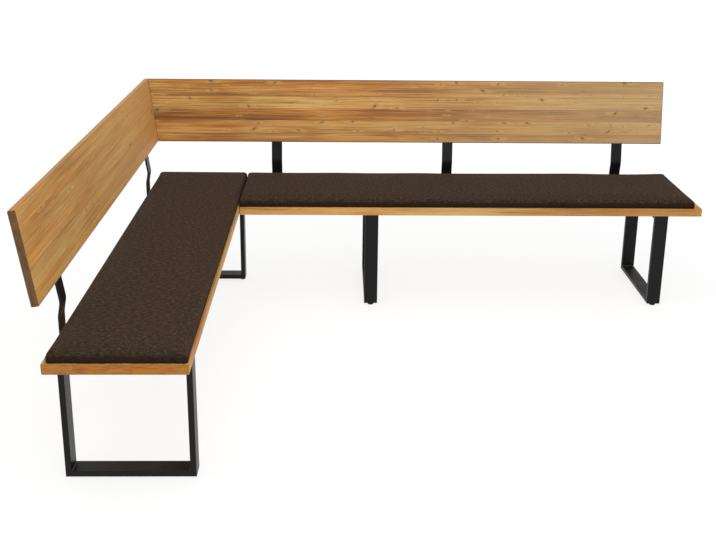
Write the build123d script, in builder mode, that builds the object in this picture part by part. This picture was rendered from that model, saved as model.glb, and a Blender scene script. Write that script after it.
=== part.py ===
"""Corner bench: plank seats on welded tube frames, with leaning backrests and loose seat cushions.

The bench's frame is +X along the long side, +Y to the back and +Z up, in millimetres. Its origin is
on the floor, in the middle of the bench's outer box. Both sides of the bench are drawn in the same
local frame: x runs along the side, y from the front edge of the seat to its rear edge and z up from
the floor, and the inner corner of the two seats is at x = y = 0.
"""

import math
import os

from build123d import *

os.makedirs("parts", exist_ok=True)

# Seats
SEAT_DEPTH = 440.0
SEAT_THICKNESS = 36.0
LONG_SEAT_LENGTH = 2070.0
SHORT_SEAT_LENGTH = 1860.0
SEAT_EDGE_RADIUS = 3.0
SEAT_SEAM = 1.0

# Leg frames, welded from flat rectangular tube
LEG_FRAME_HEIGHT = 429.0
LEG_INSET = 10.0
TUBE_WIDTH = 60.0
TUBE_DEPTH = 20.0
TUBE_WALL = 2.0
TUBE_CORNER_RADIUS = 2.5
NEAR_LEG_SETBACK = 115.0
REAR_LEG_SETBACK = 100.0
MIDDLE_LEG_OFFSET = 590.0
RIGHT_LEG_SETBACK = 145.0

# Levelling feet: a moulded base on a threaded stud, and the rivet nut that takes the stud
FOOT_DIAMETER = 27.0
FOOT_BASE_HEIGHT = 8.5
FOOT_EDGE_RADIUS = 2.5
FOOT_SETBACK = 15.0
STUD_DIAMETER = 8.0
STUD_SOCKET_DEPTH = 5.0
STUD_TOP_GAP = 5.5
STUD_CHAMFER = 1.0
NUT_FLANGE_THICKNESS = 1.5
NUT_FLANGE_DIAMETER = 15.0
NUT_BODY_DIAMETER = 11.0
NUT_TOP_GAP = 7.0
THREAD_CLEARANCE = 0.05
PRESS_CLEARANCE = 0.05

# Backrest boards
BOARD_HEIGHT = 300.0
BOARD_THICKNESS = 24.0
BOARD_EDGE_RADIUS = 3.0
BOARD_END_RADIUS = 2.0
BOARD_CLEARANCE = 185.0
BOARD_LEAN = 8.5
LONG_BOARD_SHORTFALL = 65.0
SHORT_BOARD_SHORTFALL = 2.0
MITRE_GAP = 1.5

# Backrest supports, bent from flat bar
BAR_WIDTH = 50.0
BAR_THICKNESS = 8.0
BAR_INNER_RADIUS = 5.0
BAR_EDGE_CLEARANCE = 1.0
BAR_FOOT_LENGTH = 80.0
BAR_END_RADIUS = 6.0
BAR_OVERLAP = 190.0
DOGLEG_START = 38.0
DOGLEG_END = 85.0
DOGLEG_FORWARD = 9.0
DOGLEG_RADIUS = 60.0
FIRST_SUPPORT_GAP = 15.0
LAST_SUPPORT_GAP = 43.0
NEAR_SUPPORT_GAP = 65.0
FAR_SUPPORT_GAP = 5.0

# Flat plates under the joint of the two seats
PLATE_LENGTH = 200.0
PLATE_WIDTH = 50.0
PLATE_THICKNESS = 5.0
PLATE_CORNER_RADIUS = 5.0
PLATE_FRONT_INSET = 85.0

# Wood screws
SCREW_DIAMETER = 5.0
SCREW_TIP_LENGTH = 5.0
SCREW_TIP_DIAMETER = 1.0
SCREW_HEAD_DIAMETER = 11.0
SCREW_HEAD_HEIGHT = 3.0
SCREW_SOCKET = 4.0
SCREW_SOCKET_DEPTH = 1.8
SCREW_HOLE_CLEARANCE = 0.4
SCREW_TIP_ROOM = 1.0
ACCESS_HOLE_CLEARANCE = 1.5
SEAT_BITE = 24.0
BOARD_BITE = 16.0
LEG_SCREW_INSET = 90.0
LEG_SCREW_SPREAD = 30.0
BAR_SCREW_TIP_INSET = 20.0
BAR_SCREW_REAR_INSET = 25.0
BOARD_SCREW_LOW = 40.0
BOARD_SCREW_HIGH = 150.0
PLATE_SCREW_INNER = 30.0
PLATE_SCREW_END = 20.0

# Seat cushions: a sewn cover round a foam core
CUSHION_CROWN = 36.0
CUSHION_SHOULDER = 33.0
CUSHION_BULGE = 3.5
CUSHION_DRAW_IN = 3.0
CUSHION_CORNER_RADIUS = 17.0
CUSHION_CORNER_ANGLES = (0, 30, 60, 90)
CUSHION_MID_STATIONS = 3
COVER_THICKNESS = 1.5
FOAM_CLEARANCE = 0.2
CUSHION_SEAT_CLEARANCE = 0.3
CUSHION_LIFT_CLEARANCE = 4.0
CUSHION_GAP = 5.0
SHORT_CUSHION_FRONT_INSET = 4.0
SHORT_CUSHION_END_INSET = 2.0
LONG_CUSHION_FRONT_INSET = 2.0
LONG_CUSHION_END_INSET = 37.0

# Heights
FOOT_HEIGHT = FOOT_BASE_HEIGHT + NUT_FLANGE_THICKNESS
SEAT_UNDERSIDE = FOOT_HEIGHT + LEG_FRAME_HEIGHT
SEAT_TOP = SEAT_UNDERSIDE + SEAT_THICKNESS

# Lengths along each side, from the inner corner
NEAR_LENGTH = SHORT_SEAT_LENGTH - SEAT_DEPTH
LEG_FRAME_WIDTH = SEAT_DEPTH - 2 * LEG_INSET
SEAT_MIDDLE = SEAT_DEPTH / 2
NEAR_LEG_X = -NEAR_LENGTH + NEAR_LEG_SETBACK + TUBE_WIDTH / 2
REAR_LEG_X = SEAT_DEPTH - REAR_LEG_SETBACK - TUBE_WIDTH / 2
RIGHT_LEG_X = LONG_SEAT_LENGTH - RIGHT_LEG_SETBACK - TUBE_WIDTH / 2

# A support's upper run: the line of the bar's middle, and the board in front of it
LEAN_SIN = math.sin(math.radians(BOARD_LEAN))
LEAN_COS = math.cos(math.radians(BOARD_LEAN))
BAR_UPRIGHT_Y = SEAT_DEPTH + BAR_EDGE_CLEARANCE + BAR_INNER_RADIUS + BAR_THICKNESS / 2
KNEE_Y = BAR_UPRIGHT_Y - DOGLEG_FORWARD
KNEE_Z = SEAT_TOP + DOGLEG_END
BOARD_FRONT_OFFSET = BAR_THICKNESS / 2 + BOARD_THICKNESS
BOARD_START = (BOARD_CLEARANCE - DOGLEG_END - LEAN_SIN * BOARD_FRONT_OFFSET) / LEAN_COS


def on_upper_run(along, behind):
    """Point (y, z) a distance up the upper run from its knee, and behind the bar's middle."""
    return (
        KNEE_Y + LEAN_SIN * along + LEAN_COS * behind,
        KNEE_Z + LEAN_COS * along - LEAN_SIN * behind,
    )


BOARD_OVERHANG = SEAT_DEPTH - on_upper_run(BOARD_START, -BOARD_FRONT_OFFSET)[0]
CUSHION_REAR_INSET = BOARD_OVERHANG + CUSHION_LIFT_CLEARANCE

# How far the backrest reaches behind the seat, which sets the bench's outer box
BOARD_REACH = on_upper_run(BOARD_START + BOARD_HEIGHT, -BAR_THICKNESS / 2)[0]
ROUNDED_BOARD_REACH = BOARD_REACH - BOARD_EDGE_RADIUS * (LEAN_SIN + LEAN_COS - 1)
BAR_REACH = on_upper_run(BOARD_START + BAR_OVERLAP, BAR_THICKNESS / 2)[0]
REAR_REACH = max(ROUNDED_BOARD_REACH, BAR_REACH) - SEAT_DEPTH

CORNER_X = (SEAT_DEPTH + REAR_REACH - LONG_SEAT_LENGTH) / 2
CORNER_Y = (NEAR_LENGTH - SEAT_DEPTH - REAR_REACH) / 2
LONG_SIDE = Location((CORNER_X, CORNER_Y, 0))
SHORT_SIDE = Location((CORNER_X, CORNER_Y, 0), (0, 0, 90))

# Supports and plates along each side
FIRST_SUPPORT_X = PLATE_LENGTH / 2 + FIRST_SUPPORT_GAP + BAR_WIDTH / 2
LAST_SUPPORT_X = RIGHT_LEG_X - TUBE_WIDTH / 2 - LAST_SUPPORT_GAP - BAR_WIDTH / 2
NEAR_SUPPORT_X = NEAR_LEG_X + TUBE_WIDTH / 2 + NEAR_SUPPORT_GAP + BAR_WIDTH / 2
FAR_SUPPORT_X = REAR_LEG_X - TUBE_WIDTH / 2 - FAR_SUPPORT_GAP - BAR_WIDTH / 2
LONG_SUPPORTS = {
    "corner": FIRST_SUPPORT_X,
    "middle": (FIRST_SUPPORT_X + LAST_SUPPORT_X) / 2,
    "right": LAST_SUPPORT_X,
}
SHORT_SUPPORTS = {"near": NEAR_SUPPORT_X, "far": FAR_SUPPORT_X}
PLATES = {
    "front": PLATE_FRONT_INSET,
    "rear": (REAR_LEG_X + TUBE_WIDTH / 2 + SEAT_DEPTH) / 2,
}
SHORT_LEGS = {"near": NEAR_LEG_X, "rear": REAR_LEG_X}
LONG_LEGS = {"middle": MIDDLE_LEG_OFFSET, "right": RIGHT_LEG_X}

SCREW_HOLE_RADIUS = SCREW_DIAMETER / 2 + SCREW_HOLE_CLEARANCE
PILOT_RADIUS = SCREW_DIAMETER / 2 + PRESS_CLEARANCE
FROM_BASE = (Align.CENTER, Align.CENTER, Align.MIN)


def write(piece, name):
    """Label a finished piece and write it to its own file."""
    piece.part.label = name
    export_step(piece.part, f"parts/{name}.step")


def place(piece, spots, name):
    """Set a piece at one or more places in the bench's frame and write it."""
    with BuildPart() as placed:
        with Locations(*spots):
            add(piece.part)
    write(placed, name)


def leg_screw_spots(x):
    """Screws up through a leg frame's top rail, heads inside the tube."""
    reach = LEG_FRAME_WIDTH / 2 - LEG_SCREW_INSET
    height = SEAT_UNDERSIDE - TUBE_WALL
    return [
        Location((x + across * LEG_SCREW_SPREAD / 2, SEAT_MIDDLE + end * reach, height))
        for across in (-1, 1)
        for end in (-1, 1)
    ]


def bar_foot_screw_spots(x):
    """Screws up through a support's foot into the seat."""
    height = SEAT_UNDERSIDE - BAR_THICKNESS
    insets = (BAR_SCREW_REAR_INSET, BAR_FOOT_LENGTH - BAR_SCREW_TIP_INSET)
    return [Location((x, SEAT_DEPTH - inset, height)) for inset in insets]


def board_screw_spots(x):
    """Screws forward through a support's upper run into the backrest board."""
    spots = []
    for height in (BOARD_SCREW_LOW, BOARD_SCREW_HIGH):
        y, z = on_upper_run(BOARD_START + height, BAR_THICKNESS / 2)
        spots.append(Plane((x, y, z), x_dir=(1, 0, 0), z_dir=(0, -LEAN_COS, LEAN_SIN)).location)
    return spots


def plate_screw_spots(y):
    """Screws up through a corner plate, two into each seat, in the long side's frame."""
    height = SEAT_UNDERSIDE - PLATE_THICKNESS
    distances = (PLATE_SCREW_INNER, PLATE_LENGTH / 2 - PLATE_SCREW_END)
    return [Location((side * distance, y, height)) for side in (-1, 1) for distance in distances]


def pilot_holes(spots, clamped, bite):
    """Blind holes in the wood being built, for screws that first pass through a clamped thickness."""
    with Locations(*spots):
        Cylinder(PILOT_RADIUS, clamped + bite + SCREW_TIP_ROOM, align=FROM_BASE, mode=Mode.SUBTRACT)


def seat_pilot_holes(legs, supports, plate_spots):
    """Pilot holes in a seat for its leg frames, its backrest supports and the corner plates."""
    for leg_x in legs.values():
        pilot_holes(leg_screw_spots(leg_x), TUBE_WALL, SEAT_BITE)
    for support_x in supports.values():
        pilot_holes(bar_foot_screw_spots(support_x), BAR_THICKNESS, SEAT_BITE)
    pilot_holes(plate_spots, PLATE_THICKNESS, SEAT_BITE)


# Seat boards
ALL_PLATE_SPOTS = [spot for y in PLATES.values() for spot in plate_screw_spots(y)]
TURN_TO_SHORT_SIDE = Location((0, 0, 0), (0, 0, -90))

with BuildPart() as long_seat:
    with Locations((SEAT_SEAM, 0, SEAT_UNDERSIDE)):
        Box(
            LONG_SEAT_LENGTH - SEAT_SEAM,
            SEAT_DEPTH,
            SEAT_THICKNESS,
            align=(Align.MIN, Align.MIN, Align.MIN),
        )
    fillet(long_seat.edges(), SEAT_EDGE_RADIUS)
    seat_pilot_holes(LONG_LEGS, LONG_SUPPORTS, ALL_PLATE_SPOTS)
place(long_seat, [LONG_SIDE], "long_seat_board")

with BuildPart() as short_seat:
    with Locations((-NEAR_LENGTH, 0, SEAT_UNDERSIDE)):
        Box(
            SHORT_SEAT_LENGTH,
            SEAT_DEPTH,
            SEAT_THICKNESS,
            align=(Align.MIN, Align.MIN, Align.MIN),
        )
    fillet(short_seat.edges(), SEAT_EDGE_RADIUS)
    turned_plate_spots = [TURN_TO_SHORT_SIDE * spot for spot in ALL_PLATE_SPOTS]
    seat_pilot_holes(SHORT_LEGS, SHORT_SUPPORTS, turned_plate_spots)
place(short_seat, [SHORT_SIDE], "short_seat_board")


# Leg frames, drawn standing at x = y = 0 with the frame's width along y
HALF_FRAME = LEG_FRAME_WIDTH / 2
FRAME_TOP = SEAT_UNDERSIDE


def tube_section(plane):
    """Hollow section of the tube, its width along the plane's x."""
    with BuildSketch(plane) as section:
        RectangleRounded(TUBE_WIDTH, TUBE_DEPTH, TUBE_CORNER_RADIUS)
        Rectangle(TUBE_WIDTH - 2 * TUBE_WALL, TUBE_DEPTH - 2 * TUBE_WALL, mode=Mode.SUBTRACT)
    return section.sketch


def mitre(y, z, y_side, z_side):
    """Cut the tube being built at 45 degrees through a corner of the frame, keeping the named side."""
    split(bisect_by=Plane((0, y, z), z_dir=(0, y_side, z_side)), keep=Keep.TOP)


with BuildPart() as front_post:
    post_foot = Plane((0, -HALF_FRAME + TUBE_DEPTH / 2, FOOT_HEIGHT))
    extrude(tube_section(post_foot), amount=LEG_FRAME_HEIGHT)
    mitre(-HALF_FRAME, FOOT_HEIGHT, -1, 1)
    mitre(-HALF_FRAME, FRAME_TOP, -1, -1)

with BuildPart() as rear_post:
    post_foot = Plane((0, HALF_FRAME - TUBE_DEPTH / 2, FOOT_HEIGHT))
    extrude(tube_section(post_foot), amount=LEG_FRAME_HEIGHT)
    mitre(HALF_FRAME, FOOT_HEIGHT, 1, 1)
    mitre(HALF_FRAME, FRAME_TOP, 1, -1)

FOOT_SPOTS = {"front": -HALF_FRAME + FOOT_SETBACK, "rear": HALF_FRAME - FOOT_SETBACK}

with BuildPart() as bottom_rail:
    rail_start = (0, -HALF_FRAME, FOOT_HEIGHT + TUBE_DEPTH / 2)
    rail_end = Plane(rail_start, x_dir=(1, 0, 0), z_dir=(0, 1, 0))
    extrude(tube_section(rail_end), amount=LEG_FRAME_WIDTH)
    mitre(-HALF_FRAME, FOOT_HEIGHT, 1, -1)
    mitre(HALF_FRAME, FOOT_HEIGHT, -1, -1)
    with Locations(*[(0, y, FOOT_HEIGHT) for y in FOOT_SPOTS.values()]):
        Cylinder(NUT_BODY_DIAMETER / 2 + PRESS_CLEARANCE, 2 * TUBE_WALL, mode=Mode.SUBTRACT)

SCREW_HOLE_SPOTS = [Location((0, -SEAT_MIDDLE, 0)) * spot for spot in leg_screw_spots(0)]
ACCESS_HOLE_SPOTS = [spot * Location((0, 0, TUBE_WALL - TUBE_DEPTH)) for spot in SCREW_HOLE_SPOTS]

with BuildPart() as top_rail:
    rail_start = (0, -HALF_FRAME, FRAME_TOP - TUBE_DEPTH / 2)
    rail_end = Plane(rail_start, x_dir=(1, 0, 0), z_dir=(0, 1, 0))
    extrude(tube_section(rail_end), amount=LEG_FRAME_WIDTH)
    mitre(-HALF_FRAME, FRAME_TOP, 1, 1)
    mitre(HALF_FRAME, FRAME_TOP, -1, 1)
    with Locations(*SCREW_HOLE_SPOTS):
        Cylinder(SCREW_HOLE_RADIUS, 2 * TUBE_WALL, mode=Mode.SUBTRACT)
    with Locations(*ACCESS_HOLE_SPOTS):
        Cylinder(SCREW_HEAD_DIAMETER / 2 + ACCESS_HOLE_CLEARANCE, 2 * TUBE_WALL, mode=Mode.SUBTRACT)


# Levelling feet and rivet nuts, drawn on the axis x = y = 0
STUD_TOP = FOOT_HEIGHT + TUBE_DEPTH - TUBE_WALL - STUD_TOP_GAP
NUT_TOP = FOOT_HEIGHT + TUBE_DEPTH - TUBE_WALL - NUT_TOP_GAP
STUD_BASE = FOOT_BASE_HEIGHT - STUD_SOCKET_DEPTH

with BuildPart() as foot_base:
    Cylinder(FOOT_DIAMETER / 2, FOOT_BASE_HEIGHT, align=FROM_BASE)
    fillet(foot_base.edges().filter_by(GeomType.CIRCLE), FOOT_EDGE_RADIUS)
    with Locations((0, 0, STUD_BASE)):
        Cylinder(
            STUD_DIAMETER / 2 + PRESS_CLEARANCE,
            STUD_SOCKET_DEPTH,
            align=FROM_BASE,
            mode=Mode.SUBTRACT,
        )

with BuildPart() as foot_stud:
    with Locations((0, 0, STUD_BASE)):
        Cylinder(STUD_DIAMETER / 2, STUD_TOP - STUD_BASE, align=FROM_BASE)
    chamfer(foot_stud.edges().group_by(Axis.Z)[-1], STUD_CHAMFER)

with BuildPart() as rivet_nut:
    with Locations((0, 0, FOOT_BASE_HEIGHT)):
        Cylinder(NUT_FLANGE_DIAMETER / 2, NUT_FLANGE_THICKNESS, align=FROM_BASE)
        Cylinder(NUT_BODY_DIAMETER / 2, NUT_TOP - FOOT_BASE_HEIGHT, align=FROM_BASE)
        Cylinder(
            STUD_DIAMETER / 2 + THREAD_CLEARANCE,
            NUT_TOP - FOOT_BASE_HEIGHT,
            align=FROM_BASE,
            mode=Mode.SUBTRACT,
        )


def wood_screw(length):
    """Pan-head wood screw pointing up, with the bearing face of its head at z = 0."""
    with BuildPart() as screw:
        with BuildSketch(Plane.XZ):
            with BuildLine():
                Polyline(
                    (0, -SCREW_HEAD_HEIGHT),
                    (SCREW_HEAD_DIAMETER / 2, -SCREW_HEAD_HEIGHT),
                    (SCREW_HEAD_DIAMETER / 2, 0),
                    (SCREW_DIAMETER / 2, 0),
                    (SCREW_DIAMETER / 2, length - SCREW_TIP_LENGTH),
                    (SCREW_TIP_DIAMETER / 2, length),
                    (0, length),
                    close=True,
                )
            make_face()
        revolve(axis=Axis.Z)
        with BuildSketch(Plane.XY.offset(-SCREW_HEAD_HEIGHT)):
            RegularPolygon(SCREW_SOCKET / 2, 6, major_radius=False)
        extrude(amount=SCREW_SOCKET_DEPTH, mode=Mode.SUBTRACT)
    return screw


LEG_PIECES = {
    "front_post": front_post,
    "rear_post": rear_post,
    "bottom_rail": bottom_rail,
    "top_rail": top_rail,
}
leg_screw = wood_screw(TUBE_WALL + SEAT_BITE)

for side, legs in ((SHORT_SIDE, SHORT_LEGS), (LONG_SIDE, LONG_LEGS)):
    for leg, leg_x in legs.items():
        stand = side * Location((leg_x, SEAT_MIDDLE, 0))
        for piece_name, piece in LEG_PIECES.items():
            place(piece, [stand], f"{leg}_leg_{piece_name}")
        for end, foot_y in FOOT_SPOTS.items():
            foot_spot = stand * Location((0, foot_y, 0))
            place(foot_base, [foot_spot], f"{leg}_leg_{end}_foot")
            place(foot_stud, [foot_spot], f"{leg}_leg_{end}_foot_stud")
        nut_spots = [stand * Location((0, foot_y, 0)) for foot_y in FOOT_SPOTS.values()]
        place(rivet_nut, nut_spots, f"{leg}_leg_rivet_nuts")
        place(leg_screw, [side * spot for spot in leg_screw_spots(leg_x)], f"{leg}_leg_screws")


# Backrest supports, drawn at x = 0
BAR_BEND_RADIUS = BAR_INNER_RADIUS + BAR_THICKNESS / 2
BAR_FOOT_Z = SEAT_UNDERSIDE - BAR_THICKNESS / 2
BAR_TOP = on_upper_run(BOARD_START + BAR_OVERLAP, 0)

with BuildPart() as support:
    with BuildLine() as bar_line:
        FilletPolyline(
            (0, SEAT_DEPTH - BAR_FOOT_LENGTH, BAR_FOOT_Z),
            (0, BAR_UPRIGHT_Y, BAR_FOOT_Z),
            (0, BAR_UPRIGHT_Y, SEAT_TOP + DOGLEG_START),
            (0, KNEE_Y, KNEE_Z),
            (0, *BAR_TOP),
            radius=(BAR_BEND_RADIUS, DOGLEG_RADIUS, DOGLEG_RADIUS),
        )
    with BuildSketch(Plane(bar_line.line @ 0, x_dir=(1, 0, 0), z_dir=bar_line.line % 0)):
        Rectangle(BAR_WIDTH, BAR_THICKNESS)
    sweep()
    fillet(support.edges().filter_by(Axis.Z).group_by(Axis.Y)[0], BAR_END_RADIUS)
    top_corners = support.faces().sort_by(Axis.Z)[-1].edges().filter_by(Axis.X, reverse=True)
    fillet(top_corners, BAR_END_RADIUS)
    with Locations(*bar_foot_screw_spots(0), *board_screw_spots(0)):
        Cylinder(SCREW_HOLE_RADIUS, 3 * BAR_THICKNESS, mode=Mode.SUBTRACT)

for name, support_x in LONG_SUPPORTS.items():
    place(support, [LONG_SIDE * Location((support_x, 0, 0))], f"long_backrest_{name}_support")
for name, support_x in SHORT_SUPPORTS.items():
    place(support, [SHORT_SIDE * Location((support_x, 0, 0))], f"short_backrest_{name}_support")

ALL_SUPPORTS = [(LONG_SIDE, x) for x in LONG_SUPPORTS.values()]
ALL_SUPPORTS += [(SHORT_SIDE, x) for x in SHORT_SUPPORTS.values()]
bar_foot_screw = wood_screw(BAR_THICKNESS + SEAT_BITE)
bar_foot_spots = [side * spot for side, x in ALL_SUPPORTS for spot in bar_foot_screw_spots(x)]
place(bar_foot_screw, bar_foot_spots, "support_seat_screws")
board_screw = wood_screw(BAR_THICKNESS + BOARD_BITE)
board_spots = [side * spot for side, x in ALL_SUPPORTS for spot in board_screw_spots(x)]
place(board_screw, board_spots, "support_board_screws")


# Backrest boards, mitred where they meet
BOARD_MIDDLE = on_upper_run(BOARD_START + BOARD_HEIGHT / 2, -(BAR_THICKNESS + BOARD_THICKNESS) / 2)
MITRE_OFFSET = MITRE_GAP / 2


def plain_board(start, end, supports):
    """Leaning board between two places along its side, with pilot holes for its supports' screws."""
    with BuildSketch(Plane.YZ.offset(start)) as outline:
        with Locations(BOARD_MIDDLE):
            RectangleRounded(BOARD_THICKNESS, BOARD_HEIGHT, BOARD_EDGE_RADIUS, rotation=-BOARD_LEAN)
    extrude(outline.sketch, amount=end - start)
    for support_x in supports.values():
        pilot_holes(board_screw_spots(support_x), BAR_THICKNESS, BOARD_BITE)


MITRE_REACH = SEAT_DEPTH + REAR_REACH

with BuildPart() as long_board:
    plain_board(-MITRE_REACH, LONG_SEAT_LENGTH - LONG_BOARD_SHORTFALL, LONG_SUPPORTS)
    split(bisect_by=Plane((0, 0, 0), z_dir=(1, 1, 0)).offset(MITRE_OFFSET), keep=Keep.TOP)
    fillet(long_board.faces().sort_by(Axis.X)[-1].edges(), BOARD_END_RADIUS)
place(long_board, [LONG_SIDE], "long_backrest_board")

with BuildPart() as short_board:
    plain_board(-NEAR_LENGTH + SHORT_BOARD_SHORTFALL, MITRE_REACH, SHORT_SUPPORTS)
    split(bisect_by=Plane((0, 0, 0), z_dir=(-1, 1, 0)).offset(MITRE_OFFSET), keep=Keep.TOP)
    fillet(short_board.faces().sort_by(Axis.X)[0].edges(), BOARD_END_RADIUS)
place(short_board, [SHORT_SIDE], "short_backrest_board")


# Corner plates, drawn at y = 0 across the seam
with BuildPart() as corner_plate:
    with BuildSketch(Plane.XY.offset(SEAT_UNDERSIDE - PLATE_THICKNESS)):
        RectangleRounded(PLATE_LENGTH, PLATE_WIDTH, PLATE_CORNER_RADIUS)
    extrude(amount=PLATE_THICKNESS)
    with Locations(*plate_screw_spots(0)):
        Cylinder(SCREW_HOLE_RADIUS, 3 * PLATE_THICKNESS, mode=Mode.SUBTRACT)

for name, plate_y in PLATES.items():
    place(corner_plate, [LONG_SIDE * Location((0, plate_y, 0))], f"corner_plate_{name}")
plate_screw = wood_screw(PLATE_THICKNESS + SEAT_BITE)
place(plate_screw, [LONG_SIDE * spot for spot in ALL_PLATE_SPOTS], "corner_plate_screws")


# Seat cushions
def cushion_section(x, front, rear, base, shoulder, crown):
    """Section across a cushion: flat base, bulging sides and a crowned top."""
    with BuildSketch(Plane.YZ.offset(x)) as section:
        with BuildLine():
            Line((front + CUSHION_BULGE, base), (rear - CUSHION_BULGE, base))
            ThreePointArc(
                (rear - CUSHION_BULGE, base),
                (rear, base + shoulder / 2),
                (rear - 2 * CUSHION_BULGE, base + shoulder),
            )
            ThreePointArc(
                (rear - 2 * CUSHION_BULGE, base + shoulder),
                ((front + rear) / 2, base + crown),
                (front + 2 * CUSHION_BULGE, base + shoulder),
            )
            ThreePointArc(
                (front + 2 * CUSHION_BULGE, base + shoulder),
                (front, base + shoulder / 2),
                (front + CUSHION_BULGE, base),
            )
        make_face()
    return section.sketch


def cushion_form(start, end, front, rear, shrink, mode=Mode.ADD):
    """Cushion with rounded ends and drawn-in sides, shrunk all round by a thickness."""
    start, end = start + shrink, end - shrink
    front, rear = front + shrink, rear - shrink
    base = SEAT_TOP + CUSHION_SEAT_CLEARANCE + shrink
    shoulder, crown = CUSHION_SHOULDER - 2 * shrink, CUSHION_CROWN - 2 * shrink
    rounded = []
    for turn in map(math.radians, CUSHION_CORNER_ANGLES):
        along = CUSHION_CORNER_RADIUS * (1 - math.cos(turn))
        inset = CUSHION_CORNER_RADIUS * (1 - math.sin(turn))
        rounded.append((along, inset, (1 + math.sin(turn)) / 2))
    stations = [(start + along, inset, fullness) for along, inset, fullness in rounded]
    straight = end - start - 2 * CUSHION_CORNER_RADIUS
    for station in range(1, CUSHION_MID_STATIONS + 1):
        share = station / (CUSHION_MID_STATIONS + 1)
        along = CUSHION_CORNER_RADIUS + share * straight
        stations.append((start + along, CUSHION_DRAW_IN * 4 * share * (1 - share), 1.0))
    stations += [(end - along, inset, fullness) for along, inset, fullness in reversed(rounded)]
    sections = [
        cushion_section(x, front + inset, rear - inset, base, shoulder * fullness, crown * fullness)
        for x, inset, fullness in stations
    ]
    loft(sections, ruled=True, mode=mode)


CUSHION_REAR = SEAT_DEPTH - CUSHION_REAR_INSET
CUSHIONS = {
    "long": (
        LONG_SIDE,
        CUSHION_GAP - SHORT_CUSHION_FRONT_INSET,
        LONG_SEAT_LENGTH - LONG_CUSHION_END_INSET,
        LONG_CUSHION_FRONT_INSET,
    ),
    "short": (
        SHORT_SIDE,
        -NEAR_LENGTH + SHORT_CUSHION_END_INSET,
        CUSHION_REAR,
        SHORT_CUSHION_FRONT_INSET,
    ),
}

for name, (side, start, end, front) in CUSHIONS.items():
    with BuildPart() as cover:
        cushion_form(start, end, front, CUSHION_REAR, 0)
        cushion_form(start, end, front, CUSHION_REAR, COVER_THICKNESS, mode=Mode.SUBTRACT)
    place(cover, [side], f"{name}_cushion_cover")
    with BuildPart() as foam:
        cushion_form(start, end, front, CUSHION_REAR, COVER_THICKNESS + FOAM_CLEARANCE)
    place(foam, [side], f"{name}_cushion_foam")
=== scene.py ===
"""Corner bench in a studio: oiled softwood boards, black steel frames and woven seat cushions.

Lengths are in metres, in the bench's own frame: +X along the long side, +Y to the back and +Z up.
"""

import logging
import math
from dataclasses import dataclass, replace
from enum import Enum
from typing import Mapping, NamedTuple, Sequence, Union

import bpy
import numpy as np
from mathutils import Matrix, Vector, noise


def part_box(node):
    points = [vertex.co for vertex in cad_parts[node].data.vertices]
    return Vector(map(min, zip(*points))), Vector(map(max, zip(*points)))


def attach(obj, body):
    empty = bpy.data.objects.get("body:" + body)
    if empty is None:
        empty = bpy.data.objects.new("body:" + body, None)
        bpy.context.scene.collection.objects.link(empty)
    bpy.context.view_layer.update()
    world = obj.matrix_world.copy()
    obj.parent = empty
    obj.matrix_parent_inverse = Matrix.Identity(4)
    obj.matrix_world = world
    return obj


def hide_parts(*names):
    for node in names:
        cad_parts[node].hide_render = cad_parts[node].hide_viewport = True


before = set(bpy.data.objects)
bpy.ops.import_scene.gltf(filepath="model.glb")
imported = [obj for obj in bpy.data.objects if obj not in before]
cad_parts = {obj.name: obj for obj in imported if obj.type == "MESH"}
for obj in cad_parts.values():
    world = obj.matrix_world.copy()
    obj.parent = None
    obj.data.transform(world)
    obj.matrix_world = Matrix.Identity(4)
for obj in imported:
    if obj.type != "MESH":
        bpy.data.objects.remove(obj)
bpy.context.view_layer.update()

LOG = logging.getLogger("corner_bench")
UP = Vector((0.0, 0.0, 1.0)).freeze()
TINY = 1e-9  # least length to divide by

Colour = tuple[float, float, float]
Pair = tuple[float, float]
Input = Union["Signal", float, Sequence[float]]
Faces = list[tuple[int, ...]]


class Side(Enum):
    """The two sides of the bench, named as in the frame."""

    LONG = "long"
    SHORT = "short"

    @property
    def along(self) -> Vector:
        """Direction in which this side's boards run."""
        return Vector((1, 0, 0)) if self is Side.LONG else Vector((0, 1, 0))

    @property
    def back(self) -> Vector:
        """Direction from this side's front edge to its backrest."""
        return Vector((0, 1, 0)) if self is Side.LONG else Vector((-1, 0, 0))


class Leg(Enum):
    """The four leg frames, named as in the frame."""

    NEAR = "near"
    REAR = "rear"
    MIDDLE = "middle"
    RIGHT = "right"


class Blend(Enum):
    """How one colour is laid over another, named as in Blender."""

    MIX = "MIX"
    MULTIPLY = "MULTIPLY"


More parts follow.
